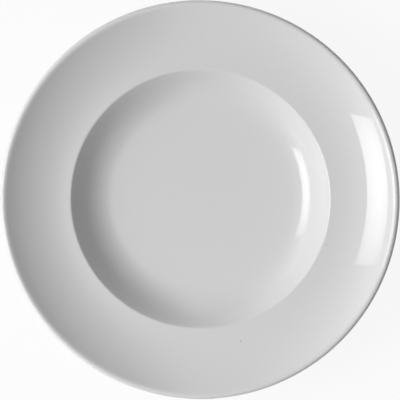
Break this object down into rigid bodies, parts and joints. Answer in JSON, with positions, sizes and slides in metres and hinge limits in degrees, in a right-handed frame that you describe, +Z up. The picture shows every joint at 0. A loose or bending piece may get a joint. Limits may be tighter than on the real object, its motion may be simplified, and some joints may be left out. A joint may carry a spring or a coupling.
{
  "type": "soup plate",
  "caption": "Round rimmed soup plate: deep well with a crisp crease, wide concave rim, rounded lip and a foot ring; glazed all over except the wiped foot",
  "frame": {"origin": "on the axis of the plate, on the plane that the foot ring stands on", "axes": "+Z up along the axis of the plate, out of the well; +X to the right and +Y away from the viewer in a view from above"},
  "size_m": [0.23, 0.23, 0.035],
  "materials": {
    "porcelain": "fired white porcelain, bare and dry, ground smooth on the foot ring",
    "glaze": "clear glossy glaze over white porcelain"
  },
  "bodies": {
    "root": {"porcelain_body": "porcelain", "outer_glaze": "glaze", "foot_recess_glaze": "glaze"}
  },
  "joints": []
}
